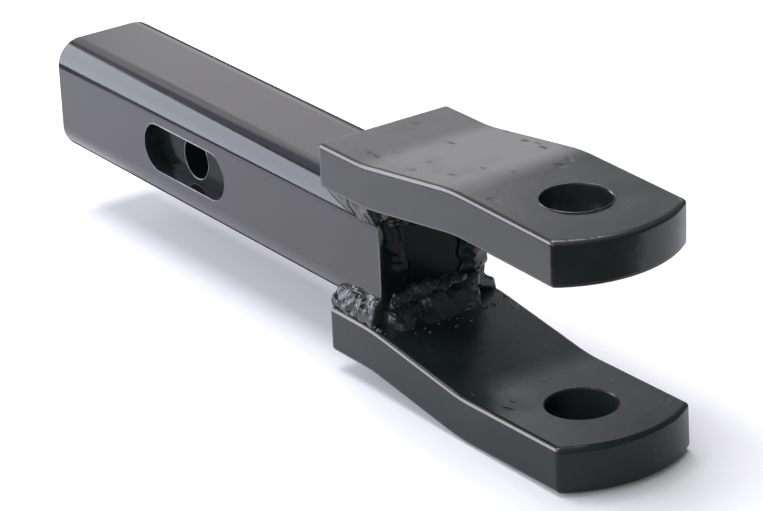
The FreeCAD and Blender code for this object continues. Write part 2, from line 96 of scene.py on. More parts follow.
# %% Camera
CAMERA_AT = Vector((1.04895, -0.79704, 0.60134))
AZIMUTH, ELEVATION, ROLL = math.radians(55.97), math.radians(23.39), math.radians(-2.69)
SENSOR = 36.0
PICTURE_WIDTH, FOCAL_IN_PIXELS = 763, 3828.26


def camera_axes(azimuth, elevation, roll):
    """Right, up and backward directions of a camera, turned about its own line of sight by the roll."""
    flat = math.cos(elevation)
    back = Vector((math.sin(azimuth) * flat, -math.cos(azimuth) * flat, math.sin(elevation)))
    level = Vector((math.cos(azimuth), math.sin(azimuth), 0))
    upright = back.cross(level)
    right = level * math.cos(roll) + upright * math.sin(roll)
    up = upright * math.cos(roll) - level * math.sin(roll)
    return right, up, back


camera = bpy.data.objects.new("camera", bpy.data.cameras.new("camera"))
bpy.context.scene.collection.objects.link(camera)
camera.data.sensor_width = SENSOR
camera.data.lens = FOCAL_IN_PIXELS / PICTURE_WIDTH * SENSOR
right, up, back = camera_axes(AZIMUTH, ELEVATION, ROLL)
camera.matrix_world = Matrix.Translation(CAMERA_AT) @ Matrix((right, up, back)).transposed().to_4x4()
bpy.context.scene.camera = camera
print("lens in mm:", round(camera.data.lens, 2))

# %% [markdown]
# Black gloss paint mirrors its surroundings. On the tube's rounded corner, which turns from the near side
# to the top, each degree shows another part of the studio: first the pale table, then a thin dark line
# where the table ends, then a bright soft box, then the dim room, and on the flat top the paler wall
# behind. Those stripes are what makes the paint look wet. So there is a table of real size in a dim room,
# with six area lights of chosen radiance, and the stripes on the tube aren't painted in. The paint further
# down does paint some light and shade: a highlight on the bars' near and back edges, dark outlines, and
# darker copies of the paint on the lower bar, the core and the front welds. An area light's power is pi
# times its area times the radiance that its reflection should have.

# %% Lights


def soft_box(name, place, aim, width, height, glow, spread=180):
    """A rectangular area light at a place, turned to face a point. glow is its radiance in three colours."""
    lamp = bpy.data.lights.new(name, "AREA")
    lamp.shape = "RECTANGLE"
    lamp.size, lamp.size_y = width, height
    lamp.energy = math.pi * width * height * max(glow)
    lamp.color = [part / max(glow) for part in glow]
    lamp.spread = math.radians(spread)
    holder = bpy.data.objects.new(name, lamp)
    bpy.context.scene.collection.objects.link(holder)
    holder.visible_camera = False
    towards = Vector(aim) - Vector(place)
    turn = towards.to_track_quat("-Z", "Y").to_matrix().to_4x4()
    holder.matrix_world = Matrix.Translation(Vector(place)) @ turn
    return holder


# Name, place, point it faces, width and height, all in metres, and its radiance.
soft_box("left_box", (-0.95, -0.62, 0.27), (-0.20, 0.0, 0.03), 1.25, 0.80, glow=(4.2, 4.3, 4.9))
soft_box("left_wall", (-1.75, 0.22, 1.40), (-0.20, 0.0, 0.0), 1.3, 0.75, glow=(0.34, 0.32, 0.36))
soft_box("back_wall", (-1.20, 1.62, 0.72), (-0.15, 0.0, 0.1), 2.2, 1.5, glow=(0.37, 0.345, 0.36))
soft_box("back_left", (-2.27, 0.93, 0.95), (-0.20, 0.0, 0.1), 1.2, 1.4, glow=(0.80, 0.75, 0.775))
soft_box("top_box", (-0.45, 0.05, 1.3), (-0.25, 0.05, 0), 1.2, 1.0, glow=(3.5, 3.4, 3.55), spread=130)
soft_box("fill_box", (0.45, -1.65, 0.70), (-0.15, 0, 0), 2.2, 1.0, glow=(3.25, 3.25, 3.25))

# %% [markdown]
# The room has two tones. The paint mirrors a dim, slightly green room, which keeps it black, while the eye
# sees a pale backdrop past the table. A Light Path node tells the two kinds of ray apart.

# %% Room
ROOM_GLOW = (0.15, 0.19, 0.185, 1)
BACKDROP = (0.86, 0.86, 0.87, 1)
world = bpy.data.worlds.new("studio")
world.use_nodes = True
room = world.node_tree
glow = room.nodes.new("ShaderNodeMix")
glow.data_type = "RGBA"
glow.inputs["A"].default_value = ROOM_GLOW
glow.inputs["B"].default_value = BACKDROP
light_path = room.nodes.new("ShaderNodeLightPath")
room.links.new(light_path.outputs["Is Camera Ray"], glow.inputs["Factor"])
room.links.new(glow.outputs["Result"], room.nodes["Background"].inputs["Color"])
bpy.context.scene.world = world
bpy.context.scene.view_settings.view_transform = "Standard"
bpy.context.scene.view_settings.look = "None"
print("room:", ROOM_GLOW[:3], "backdrop:", BACKDROP[:3])

# %% [markdown]
# The floor is a plain pale table top under the hitch. It isn't part of the object. Its outline is a squared
# circle: point k of the ring is at an angle, and the cosine and sine of that angle are raised to a small
# power, which pushes the ring out into four corners. The table is turned to the camera and reaches a hand's
# width past the picture on each side. Beyond it the room is dark, as the noses of the bars show, for they
# mirror the place in front of the table.

# %% Floor


def squared_disc(half_length, half_width, power, count, height):
    """A fan from a middle point to a ring: a sign times (|cos|, |sin|) to the power, times the half sizes."""
    angle = np.arange(count) * 2 * np.pi / count
    across, along = np.cos(angle), np.sin(angle)
    x = half_length * np.sign(across) * np.abs(across) ** power
    y = half_width * np.sign(along) * np.abs(along) ** power
    points = np.vstack([[0, 0, height], np.stack([x, y, np.full(count, height)], axis=1)])
    k = np.arange(count)
    return points, np.stack([np.zeros(count, int), 1 + k, 1 + (k + 1) % count], axis=1)


def mesh_object(name, points, faces, smooth=True):
    """Put an array of points and a list of faces into a new mesh and link its object to the scene."""
    mesh = bpy.data.meshes.new(name)
    mesh.from_pydata(points.tolist(), [], faces)
    mesh.polygons.foreach_set("use_smooth", np.full(len(mesh.polygons), smooth))
    mesh.update()
    piece = bpy.data.objects.new(name, mesh)
    bpy.context.scene.collection.objects.link(piece)
    return piece


TABLE_LEFT, TABLE_RIGHT, TABLE_NEAR, TABLE_FAR = -0.415, 0.34, -0.085, 0.85
SQUARENESS, RING_POINTS, TABLE_GAP = 0.16, 240, 0.2 * MM
TABLE_COLOUR = (0.82, 0.812, 0.838, 1)
TABLE_ROUGHNESS, TABLE_SHINE = 0.9, 0.1
half_sizes = (TABLE_RIGHT - TABLE_LEFT) / 2, (TABLE_FAR - TABLE_NEAR) / 2
points, faces = squared_disc(*half_sizes, SQUARENESS, RING_POINTS, FLOOR - TABLE_GAP)
points += np.array([(TABLE_RIGHT + TABLE_LEFT) / 2, (TABLE_FAR + TABLE_NEAR) / 2, 0])
turn = np.array([[math.cos(AZIMUTH), math.sin(AZIMUTH)], [-math.sin(AZIMUTH), math.cos(AZIMUTH)]])
points[:, :2] = points[:, :2] @ turn
floor = mesh_object("floor", points, faces.tolist(), smooth=False)
floor_paint = bpy.data.materials.new("floor_paint")
floor_paint.use_nodes = True
floor_shader = floor_paint.node_tree.nodes["Principled BSDF"]
floor_shader.inputs["Base Color"].default_value = TABLE_COLOUR
floor_shader.inputs["Roughness"].default_value = TABLE_ROUGHNESS
floor_shader.inputs["Specular IOR Level"].default_value = TABLE_SHINE
floor.data.materials.append(floor_paint)
print("table:", len(faces), "faces, half sizes", half_sizes)

# %% [markdown]
# Paint on a welded part isn't even. It flows into a faint orange peel, the scale and small knocks of the
# steel show through it, handling rubs it thin along the edges, and dust dulls it in cloudy patches. The
# steel shows through only on the edges that face the near side and the back, towards the key light, so
# that rubbing is partly wear and partly a painted highlight.
# Each effect is a shader node group with named inputs and outputs, built once, and each finish places it
# with its own values. A group puts out only heights and masks, and the shader stays in the material.

# %% Helpers for node groups


def node_group(name, inputs, outputs):
    """An empty shader group with vector or number inputs and number outputs, given as name and default."""
    group = bpy.data.node_groups.new(name, "ShaderNodeTree")
    for label, default in inputs:
        kind = "NodeSocketVector" if default is None else "NodeSocketFloat"
        socket = group.interface.new_socket(name=label, in_out="INPUT", socket_type=kind)
        if default is not None:
            socket.default_value = default
    for label in outputs:
        group.interface.new_socket(name=label, in_out="OUTPUT", socket_type="NodeSocketFloat")
    entry, leave = group.nodes.new("NodeGroupInput"), group.nodes.new("NodeGroupOutput")
    return group, entry.outputs, leave.inputs


def feed(tree, socket, source):
    """Link a node's output to a socket, or set the socket to a plain value."""
    if isinstance(source, bpy.types.NodeSocket):
        tree.links.new(source, socket)
    elif source is not None:
        socket.default_value = source


def noise(tree, vector, scale, detail=2.0, rough=0.5):
    """A noise texture's factor output, about 0.5 on average."""
    texture = tree.nodes.new("ShaderNodeTexNoise")
    feed(tree, texture.inputs["Vector"], vector)
    feed(tree, texture.inputs["Scale"], scale)
    feed(tree, texture.inputs["Detail"], detail)
    feed(tree, texture.inputs["Roughness"], rough)
    return texture.outputs[0]


def spread(tree, value, low, high, to_low=0.0, to_high=1.0):
    """Stretch the part of a value between low and high to another range, eased and clamped at both ends."""
    ramp = tree.nodes.new("ShaderNodeMapRange")
    ramp.interpolation_type = "SMOOTHSTEP"
    for label, source in zip(
        ("Value", "From Min", "From Max", "To Min", "To Max"), (value, low, high, to_low, to_high)
    ):
        feed(tree, ramp.inputs[label], source)
    return ramp.outputs["Result"]


def maths(tree, operation, first, second=None, third=None):
    """One Math node."""
    node = tree.nodes.new("ShaderNodeMath")
    node.operation = operation
    for socket, source in zip(node.inputs, (first, second, third)):
        feed(tree, socket, source)
    return node.outputs["Value"]


# %% Group: how the paint lies
CLOUD_SCALE_SHARE = 0.6  # dust patches are larger than the swell
CLOUD_RANGE = (0.38, 0.68)  # noise from no dust to full dust


def paint_flow_group():
    """Height is a slow swell plus orange peel. Cloud is a patchy mask of dust and thinner paint."""
    group, given, put = node_group(
        "paint_flow",
        [("Vector", None), ("Swell Scale", 30.0), ("Peel Scale", 600.0), ("Peel Share", 0.35)],
        ["Height", "Cloud"],
    )
    swell = noise(group, given["Vector"], given["Swell Scale"], detail=3.0, rough=0.55)
    peel = noise(group, given["Vector"], given["Peel Scale"], detail=1.5)
    height = maths(group, "MULTIPLY_ADD", peel, given["Peel Share"], swell)
    feed(group, put["Height"], height)
    cloud_scale = maths(group, "MULTIPLY", given["Swell Scale"], CLOUD_SCALE_SHARE)
    cloud = noise(group, given["Vector"], cloud_scale, detail=5.0, rough=0.62)
    feed(group, put["Cloud"], spread(group, cloud, *CLOUD_RANGE))
    return group


PAINT_FLOW = paint_flow_group()

# %% Group: dents
MARK_SOFTNESS = 0.15  # noise from a dent's rim to its floor
PATCH_SCALE_SHARE, PATCH_RANGE = 0.4, (0.48, 0.58)  # wide patches that have dents


def dents_group():
    """Sparse marks, longer along X than across: peaks of a stretched noise where a second noise is high."""
    group, given, put = node_group(
        "dents", [("Vector", None), ("Scale", 150.0), ("Stretch", 4.0), ("Level", 0.66)], ["Dent"]
    )
    narrow = group.nodes.new("ShaderNodeCombineXYZ")
    narrow.inputs["X"].default_value = 1.0
    feed(group, narrow.inputs["Y"], given["Stretch"])
    feed(group, narrow.inputs["Z"], given["Stretch"])
    squeezed = group.nodes.new("ShaderNodeVectorMath")
    squeezed.operation = "MULTIPLY"
    feed(group, squeezed.inputs[0], given["Vector"])
    feed(group, squeezed.inputs[1], narrow.outputs["Vector"])
    marks = noise(group, squeezed.outputs["Vector"], given["Scale"], detail=1.0)
    level_top = maths(group, "ADD", given["Level"], MARK_SOFTNESS)
    mark = spread(group, marks, given["Level"], level_top)
    patch_scale = maths(group, "MULTIPLY", given["Scale"], PATCH_SCALE_SHARE)
    patches = spread(group, noise(group, given["Vector"], patch_scale, detail=1.0), *PATCH_RANGE)
    feed(group, put["Dent"], maths(group, "MULTIPLY", mark, patches))
    return group


DENTS = dents_group()

# %% Group: level faces, rubbed edges with a painted highlight, and front edges
# Each pair is the range of the normal's size along one axis in which a mask rises or falls.
LEVEL_RISE = (0.7, 0.9)
SLANT_START, SLANT_END = (0.2, 0.4), (0.82, 0.93)
NEARWARDS, BACKWARDS, FORWARDS = (-0.2, 0.0), (-0.45, -0.2), (0.3, 0.5)


def faces_group():
    """Masks from the direction of a face.

    Level is 1 where it looks up or down. A slanting face, neither level nor upright, is the rounding of an
    edge or the bevel of a hole. The second output is 1 where it slants to the near side or to the back, the
    sides that face the key light and the eye, and it marks wear and a painted highlight there, as the far
    and front edges get none. Front is 1 where it slants forwards, as round the noses.
    """
    group, given, put = node_group("face_masks", [("Normal", None)], ["Level", "Rubbed And Highlight", "Front"])
    part = group.nodes.new("ShaderNodeSeparateXYZ")
    feed(group, part.inputs["Vector"], given["Normal"])
    rise = maths(group, "ABSOLUTE", part.outputs["Z"])
    feed(group, put["Level"], spread(group, rise, *LEVEL_RISE))
    steep, flat = spread(group, rise, *SLANT_START), spread(group, rise, *SLANT_END, 1.0, 0.0)
    slanting = maths(group, "MULTIPLY", steep, flat)
    near = spread(group, part.outputs["Y"], *NEARWARDS, 1.0, 0.0)
    back = spread(group, part.outputs["X"], *BACKWARDS, 1.0, 0.0)
    front = spread(group, part.outputs["X"], *FORWARDS)
    side = maths(group, "SUBTRACT", maths(group, "MAXIMUM", near, back), front)
    feed(group, put["Rubbed And Highlight"], maths(group, "MULTIPLY", slanting, maths(group, "MAXIMUM", side, 0.0)))
    feed(group, put["Front"], maths(group, "MULTIPLY", slanting, front))
    return group


FACES = faces_group()
print("node groups:", [(group.name, len(group.nodes)) for group in (PAINT_FLOW, DENTS, FACES)])

# %% [markdown]
# Every finish here is one recipe with different values: black enamel with a clear gloss. The tube is smooth
# drawn steel, so its paint mirrors sharply. The bars are rolled steel with scale and knocks, and the welds
# are lumps and spatter under the same coat. Where dust lies the paint is a little paler and rougher. The
# bump carries only the flow of the paint and the knocks. Anything larger is left to the meshes.

# %% Gloss black paint
# Tone of the steel that shows through on the near and back edges, warmed to match the highlight it paints
# there.
WORN_STEEL_AND_HIGHLIGHT = (0.110, 0.102, 0.095, 1)
PAINT_IOR = 1.5
FRONT_DULLING = 0.4  # roughness added on the front edges


def blend(tree, factor, first, second):
    """Mix two colours by a factor."""
    node = tree.nodes.new("ShaderNodeMix")
    node.data_type = "RGBA"
    for label, source in (("Factor", factor), ("A", first), ("B", second)):
        feed(tree, node.inputs[label], source)
    return node.outputs["Result"]


def place_group(tree, group, sources):
    """Place a node group in a material and feed its inputs in their order."""
    node = tree.nodes.new("ShaderNodeGroup")
    node.node_tree = group
    for socket, source in zip(node.inputs, sources):
        feed(tree, socket, source)
    return node


def gloss_paint(name, colour, dusty, gloss, dull, swell, peel, peel_share, flow_depth, dent_scale, stretch,
                level, dent_depth, shine=0.5, outline_shade=(0.71, 0.87), metal=0.0, rubbed_and_highlight=0.0):
    """Black paint. gloss and dull are the roughness in clean and dusty places, and depths are in metres.

    The knocks lie on the level rolled faces only. On the near and back edges a share of dark steel shows
    through, which is wear and also a painted highlight where the key light reflects in it, and front edges
    are dull. Where the face turns away from the eye, past the given range of facing, the shine sinks,
    which paints a dark shade along the outline.
    """
    material = bpy.data.materials.new(name)
    material.use_nodes = True
    tree = material.node_tree
    shader = tree.nodes["Principled BSDF"]
    coordinates = tree.nodes.new("ShaderNodeTexCoord")
    place = coordinates.outputs["Object"]
    flow = place_group(tree, PAINT_FLOW, (place, swell, peel, peel_share))
    dents = place_group(tree, DENTS, (place, dent_scale, stretch, level))
    faces = place_group(tree, FACES, (coordinates.outputs["Normal"],))
    tone = blend(tree, flow.outputs["Cloud"], (*colour, 1), (*dusty, 1))
    roughness = spread(tree, flow.outputs["Cloud"], 0.0, 1.0, gloss, dull)
    shader.inputs["Metallic"].default_value = metal
    # Steel shows through on the near and back edges only, where the key light reflects in it: wear, and a
    # painted highlight.
    if rubbed_and_highlight:
        bare_and_highlight = maths(tree, "MULTIPLY", faces.outputs["Rubbed And Highlight"], rubbed_and_highlight)
        tone = blend(tree, bare_and_highlight, tone, WORN_STEEL_AND_HIGHLIGHT)
        feed(tree, shader.inputs["Metallic"], bare_and_highlight)
        roughness = maths(tree, "MULTIPLY_ADD", faces.outputs["Front"], FRONT_DULLING, roughness)
    feed(tree, shader.inputs["Base Color"], tone)
    feed(tree, shader.inputs["Roughness"], roughness)
    knocked = maths(tree, "MULTIPLY", dents.outputs["Dent"], faces.outputs["Level"])
    low = maths(tree, "MULTIPLY", knocked, -dent_depth)
    height = maths(tree, "MULTIPLY_ADD", flow.outputs["Height"], flow_depth, low)
    bump = tree.nodes.new("ShaderNodeBump")
    feed(tree, bump.inputs["Height"], height)
    bump.inputs["Distance"].default_value = 1.0
    feed(tree, shader.inputs["Normal"], bump.outputs["Normal"])
    shader.inputs["IOR"].default_value = PAINT_IOR
    shader.inputs["Specular IOR Level"].default_value = shine
    # Painted shade: the shine sinks where the face turns away from the eye, which draws dark outlines on the
    # rounded edges.
    turned = tree.nodes.new("ShaderNodeLayerWeight")
    turned.inputs["Blend"].default_value = 0.5
    feed(tree, shader.inputs["Specular IOR Level"], spread(tree, turned.outputs["Facing"], *outline_shade, shine, 0.0))
    return material


TUBE_PAINT = gloss_paint(
    "tube_paint", colour=(0.010, 0.010, 0.012), dusty=(0.016, 0.016, 0.019), gloss=0.09, dull=0.15,
    swell=14, peel=420, peel_share=0.02, flow_depth=0.00014,
    dent_scale=170, stretch=2, level=0.74, dent_depth=0.00008, outline_shade=(0.70, 0.85),
)
# Painted shade: the core's front face between the bars, and the near seam, get a near-black green tone and a
# small fraction of the shine.
CORE_SHADED_PAINT = gloss_paint(
    "core_paint", colour=(0.004, 0.007, 0.0065), dusty=(0.008, 0.012, 0.0115), gloss=0.14, dull=0.24,
    swell=30, peel=420, peel_share=0.03, flow_depth=0.00012,
    dent_scale=200, stretch=1, level=0.70, dent_depth=0.00010, shine=0.08,
)
# The last value sets how much steel shows on the near and back edges: wear, and a painted highlight.
BAR_COAT = dict(swell=26, peel=450, peel_share=0.08, flow_depth=0.00018,
                dent_scale=78, stretch=3, rubbed_and_highlight=0.95)
UPPER_PAINT = gloss_paint(
    "upper_bar_paint", colour=(0.011, 0.012, 0.013), dusty=(0.020, 0.020, 0.022), gloss=0.17, dull=0.30,
    level=0.63, dent_depth=0.00045, shine=0.47, outline_shade=(0.88, 0.98), **BAR_COAT,
)
# Painted shade: a copy of the upper bar's paint with about half the shine and a darker, greener tone, so the
# bar under the tube looks shaded.
LOWER_SHADED_PAINT = gloss_paint(
    "lower_bar_paint", colour=(0.008, 0.012, 0.012), dusty=(0.014, 0.018, 0.018), gloss=0.16, dull=0.30,
    level=0.65, dent_depth=0.00035, shine=0.25, outline_shade=(0.86, 0.97), **BAR_COAT,
)
EDGE_PAINT = gloss_paint(
    "worn_edge_paint", colour=(0.10, 0.10, 0.11), dusty=(0.22, 0.22, 0.23), gloss=0.25, dull=0.40,
    swell=60, peel=420, peel_share=0.05, flow_depth=0.00008,
    dent_scale=300, stretch=1, level=0.66, dent_depth=0.00006, metal=0.85,
)
WELD_COAT = dict(swell=160, peel=700, peel_share=0.08, flow_depth=0.00010,
                 dent_scale=420, stretch=1, level=0.66, dent_depth=0.00010)
WELD_PAINT = gloss_paint(
    "weld_paint", colour=(0.012, 0.012, 0.013), dusty=(0.022, 0.022, 0.023), gloss=0.14, dull=0.28,
    **WELD_COAT,
)
# Partly painted shade: the welds between the bars at the front are a darker, greener copy of the weld paint,
# with less shine and duller gloss.
FRONT_WELD_SHADED_PAINT = gloss_paint(
    "front_weld_paint", colour=(0.009, 0.012, 0.0115), dusty=(0.018, 0.022, 0.0215), gloss=0.20, dull=0.36,
    shine=0.45, **WELD_COAT,
)


def wear(piece, material):
    """Give every material slot of an object this material."""
    if not piece.material_slots:
        piece.data.materials.append(material)
    for slot in piece.material_slots:
        slot.link = "OBJECT"
        slot.material = material
    return piece


STEEL_PAINTS = {
    "shank_tube": TUBE_PAINT,
    "shank_core": CORE_SHADED_PAINT,
    "upper_clevis_plate": UPPER_PAINT,
    "lower_clevis_plate": LOWER_SHADED_PAINT,
}
for label, material in STEEL_PAINTS.items():
    wear(nodes[label], material)
print("painted:", ", ".join(STEEL_PAINTS))

# %% [markdown]
# The welds were laid by hand with a stick or a wire gun: a hot pool that moved on in small steps, so the
# bead is a row of overlapping lumps with fine curved ripples on them, and its toes wander. A displaced
# tube or a metaball would lose the ripples' direction. Here each bead is a surface of two parameters: u
# runs along the weld and v crosses it from one toe to the other. The section bulges as a parabola, and
# lumps, ripples and grain are added to the bulge. Toes and root lie inside the steel, so no gap shows.

# %% Noise for the welds
SEED = 11
RNG = np.random.default_rng(SEED)
WAVE_LENGTHS = (0.7, 1.5)  # range of the lengths in one noise, as shares of the asked length
HILL_FALL = 0.9  # how steeply a lump falls off from its middle


def waves(points, length, count=18):
    """Smooth noise: a sum of sine waves of about one length in random directions, about -1 to 1."""
    heading = RNG.normal(size=(count, 3))
    heading /= np.linalg.norm(heading, axis=1, keepdims=True)
    rate = 2 * np.pi / (length * RNG.uniform(*WAVE_LENGTHS, size=(count, 1)))
    phase = RNG.uniform(0, 2 * np.pi, size=count)
    return np.sin(points @ (heading * rate).T + phase).sum(axis=-1) / math.sqrt(count)


def lumps(points, centres, sizes):
    """The highest of many round hills: each is its size times a bell curve of the distance to its centre."""
    apart = np.linalg.norm(points[..., None, :] - centres, axis=-1) / sizes
    return (sizes * np.exp(-HILL_FALL * apart**2)).max(axis=-1)


# %% A weld bead as a closed surface
CUBIC_MM_IN_M3 = 1e9
END_WIDTH = 0.25  # width that is left at a bead's very end
HILL_ROWS, HILL_SPACING, HILL_SIZES = 3, 1.1, (0.45, 1.0)  # lumps across, their distance and range of size
GRAIN, GRAIN_LENGTH = 0.18, 1.1  # fine unevenness between the lumps
RIPPLE_BOW, RIPPLE_DRIFT, DRIFT_LENGTH = 0.9, 0.8, 4  # bow of a ripple, and how it strays, in ripples
SWELLING, SWELLING_LENGTH = 0.35, 12 * MM  # slow change of a bead's height along it
TOE_RISE, TOE_POWER, END_POWER = 1.6, 0.7, 0.4  # how fast the roughness grows from the toes and the ends
WANDER, WANDER_LENGTH = 0.22, 2.2  # how far the toes stray sideways


def rounded(distance, length):
    """A quarter of a circle: 0 at the end of a weld and 1 from the length on."""
    part = np.clip(distance / length, 0, 1)
    return np.sqrt(1 - (1 - part) ** 2)


def bead(name, first_toe, second_toe, root, outward, crown, hill, pitch=1.9 * MM, lumpy=0.34, ripple=0.06,
         first_end=3 * MM, last_end=3 * MM, across=44):
    """A bead between two toe lines, closed behind through a root line.

    Each line is an array of points along the weld. The face is the straight line between the toes plus
    outward times crown times 4 v (1 - v), plus the lumps and ripples. hill is the size of the lumps and
    lumpy their share of it. pitch is the distance between ripples, which bow forward in the middle of the
    bead, and ripple is their share of it. Towards each end the toes draw in to the root, in a quarter of a
    circle that is as long as first_end or last_end. The lengths of grain and wander are multiples of hill.
    """
    count = len(first_toe)
    step = np.linalg.norm(np.diff((first_toe + second_toe) / 2, axis=0), axis=1)
    run = np.concatenate([[0], np.cumsum(step)])[:, None]
    total = run[-1, 0]
    whole = rounded(run, first_end) * rounded(total - run, last_end)
    drawn = END_WIDTH + (1 - END_WIDTH) * whole
    first_toe = root + (first_toe - root) * drawn
    second_toe = root + (second_toe - root) * drawn
    v = np.linspace(0, 1, across)[None, :, None]
    across_face = first_toe[:, None] + (second_toe - first_toe)[:, None] * v
    bulge = 4 * v * (1 - v)
    middle = across_face + outward[:, None] * (crown * bulge)
    number = max(HILL_ROWS, int(total / (HILL_SPACING * hill)) * HILL_ROWS)
    picked = RNG.integers(0, count, number), RNG.integers(across // 8, across - across // 8, number)
    sizes = hill * RNG.uniform(*HILL_SIZES, number)
    rough = lumpy * lumps(middle, middle[picked], sizes)
    rough += GRAIN * lumpy * hill * waves(middle, GRAIN_LENGTH * hill)
    bow = RIPPLE_BOW * (2 * v[..., 0] - 1) ** 2
    beat = 2 * np.pi * (run / pitch + bow) + RIPPLE_DRIFT * waves(middle, DRIFT_LENGTH * pitch)
    rough += ripple * pitch * np.abs(np.sin(beat / 2))
    swelling = 1 + SWELLING * waves(middle, SWELLING_LENGTH)
    lift = crown * swelling * bulge[..., 0] * whole
    lift += rough * np.clip(TOE_RISE * bulge[..., 0], 0, 1) ** TOE_POWER * whole**END_POWER
    face = across_face + outward[:, None] * lift[..., None]
    wander = WANDER * hill * waves(middle, WANDER_LENGTH * hill)[..., None] * (1 - bulge) * whole[..., None]
    side = second_toe - first_toe
    side = side / np.linalg.norm(side, axis=1, keepdims=True)
    face += side[:, None] * wander * np.sign(v - 0.5)
    loop = np.concatenate([face, root[:, None]], axis=1)
    return close_rings(name, loop)


def close_rings(name, loop):
    """Quads between neighbouring closed rings, and a fan over the first and the last ring."""
    rings, size = loop.shape[:2]
    i, j = np.meshgrid(np.arange(rings - 1), np.arange(size), indexing="ij")
    k = (j + 1) % size
    quads = np.stack([i * size + j, i * size + k, (i + 1) * size + k, (i + 1) * size + j], axis=-1)
    points = np.vstack([loop.reshape(-1, 3), loop[0].mean(axis=0), loop[-1].mean(axis=0)])
    ring = np.arange(size)
    first_cap = np.stack([np.full(size, rings * size), (ring + 1) % size, ring], axis=1)
    base = (rings - 1) * size
    last_cap = np.stack([np.full(size, rings * size + 1), base + ring, base + (ring + 1) % size], axis=1)
    quads = quads.reshape(-1, 4)
    faces = quads.tolist() + first_cap.tolist() + last_cap.tolist()
    piece = mesh_object(name, points, faces)
    volume = signed_volume(points, quads)
    if volume < 0:
        piece.data.flip_normals()
    print(name, "faces", len(faces), "volume in cubic mm", round(abs(volume) * CUBIC_MM_IN_M3))
    return piece


def signed_volume(points, quads):
    """Volume by the divergence rule, a sixth of the sum of triple products. It is negative inside out."""
    a, b, c, d = (points[quads[:, n]] for n in range(4))
    return (np.einsum("ij,ij->i", a, np.cross(b, c)) + np.einsum("ij,ij->i", a, np.cross(c, d))).sum() / 6


def fit_weld(piece, *labels, paint=WELD_PAINT):
    """Paint a new weld, let it ride on the hitch, and let it stand for the plain welds of the frame."""
    wear(piece, paint)
    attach(piece, "root")
    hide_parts(*labels)
    return piece


# %% Surfaces that the welds meet


def tube_top(y):
    """Height of the tube's top at a distance y from its middle, round the corner too."""
    past = np.clip(np.abs(y) - (TUBE_HALF - TUBE_CORNER), 0, TUBE_CORNER)
    return TUBE_HALF - TUBE_CORNER + np.sqrt(TUBE_CORNER**2 - past**2)


def bar_rise(x):
    """How far the bar's inner face has bent away from the tube at x: the sagitta of its first bend."""
    past = np.clip(x - (TUBE_FRONT - BEND_START), 0, None)
    radius = BEND_RADIUS + BAR_THICKNESS / 2
    return radius - np.sqrt(radius**2 - past**2)


def stack(x, y, z):
    """Join three arrays or numbers into one array of points."""
    return np.stack(np.broadcast_arrays(x, y, z), axis=-1).astype(float)


SUNK = 0.5 * MM  # how deep the toes lie in the steel
print("bar's rise 10 mm past the front, in mm:", round(float(bar_rise(TUBE_FRONT + 10 * MM)) / MM, 2))

# %% [markdown]
# Two beads run along each bar's ledge, one on each side of the tube. They start behind the bar's tail, so
# the lumps there stick out past it, and they end flush with the tube's front end. The upper ones are smooth
# and even. The lower ones were laid with the part upside down and are coarse.

# %% Side welds
SHORT_OF_FRONT, PAST_TAIL = 0.2 * MM, 0.3 * MM  # where the bead ends, and where its toe on the bar starts
LEDGE_TOE = 4.9 * MM  # from the tube's side to the toe on the bar
LEDGE_WANDER, TUBE_WANDER, SIDE_WAVE = 0.3 * MM, 0.4 * MM, 9 * MM  # how the two toes stray
GROWTH_LENGTH, GROWTH_POWER = 14 * MM, 0.7  # run over which the bead grows to its full depth
ROOT_IN, ROOT_DOWN = 7 * MM, 0.2 * MM  # where the root lies inside the tube


def side_weld(name, side, hand, tail, start, slim, deep, lumpy, hill, crown, ripple, steps=190):
    """Bead in the corner between a bar's ledge and the tube's rounded side.

    Its toe on the tube starts before or behind the tail, slim, and sinks deeper towards the front.
    """
    s = np.linspace(0, 1, steps)
    front = TUBE_FRONT - SHORT_OF_FRONT
    x = tail + start + (front - tail - start) * s
    bar_x = tail - PAST_TAIL + (front - tail + PAST_TAIL) * s
    wobble = waves(stack(x, 0, 0), SIDE_WAVE)
    grown = np.clip((x - tail - start) / GROWTH_LENGTH, 0, 1) ** GROWTH_POWER
    toe_z = TUBE_HALF - (slim + (deep - slim) * grown) - TUBE_WANDER * wobble
    bar_toe = stack(bar_x, hand * (TUBE_HALF + LEDGE_TOE + LEDGE_WANDER * wobble), side * (TUBE_HALF + SUNK))
    tube_toe = stack(x, hand * (tube_top(toe_z) - SUNK), side * toe_z)
    root = stack(x, hand * (TUBE_HALF - ROOT_IN), side * (TUBE_HALF - ROOT_DOWN))
    outward = np.broadcast_to(np.array([0, hand, -side]) / math.sqrt(2), bar_toe.shape)
    return bead(name, bar_toe, tube_toe, root, outward, crown, hill, lumpy=lumpy, ripple=ripple,
                first_end=2 * MM, last_end=0.4 * MM)


for flank, hand, lower_deep in (("near", -1, 10.4 * MM), ("far", 1, 6.5 * MM)):
    smooth = side_weld(
        f"upper_{flank}_side_bead", 1, hand, UPPER_TAIL,
        start=-0.8 * MM, slim=4 * MM, deep=10.2 * MM, lumpy=0.09, hill=4.0 * MM, crown=0.5 * MM, ripple=0.010,
    )
    fit_weld(smooth, f"upper_{flank}_side_weld")
    lumpy = side_weld(
        f"lower_{flank}_side_bead", -1, hand, LOWER_TAIL,
        start=-3.6 * MM, slim=6 * MM, deep=lower_deep, lumpy=0.46, hill=3.4 * MM, crown=0.8 * MM, ripple=0.03,
    )
    fit_weld(lumpy, f"lower_{flank}_side_weld")

# %% [markdown]
# In front, two passes fill the corner between the tube's end and each bar: a fat one on the bar and a
# narrower one above it on the tube's end. They overlap, and both wander.

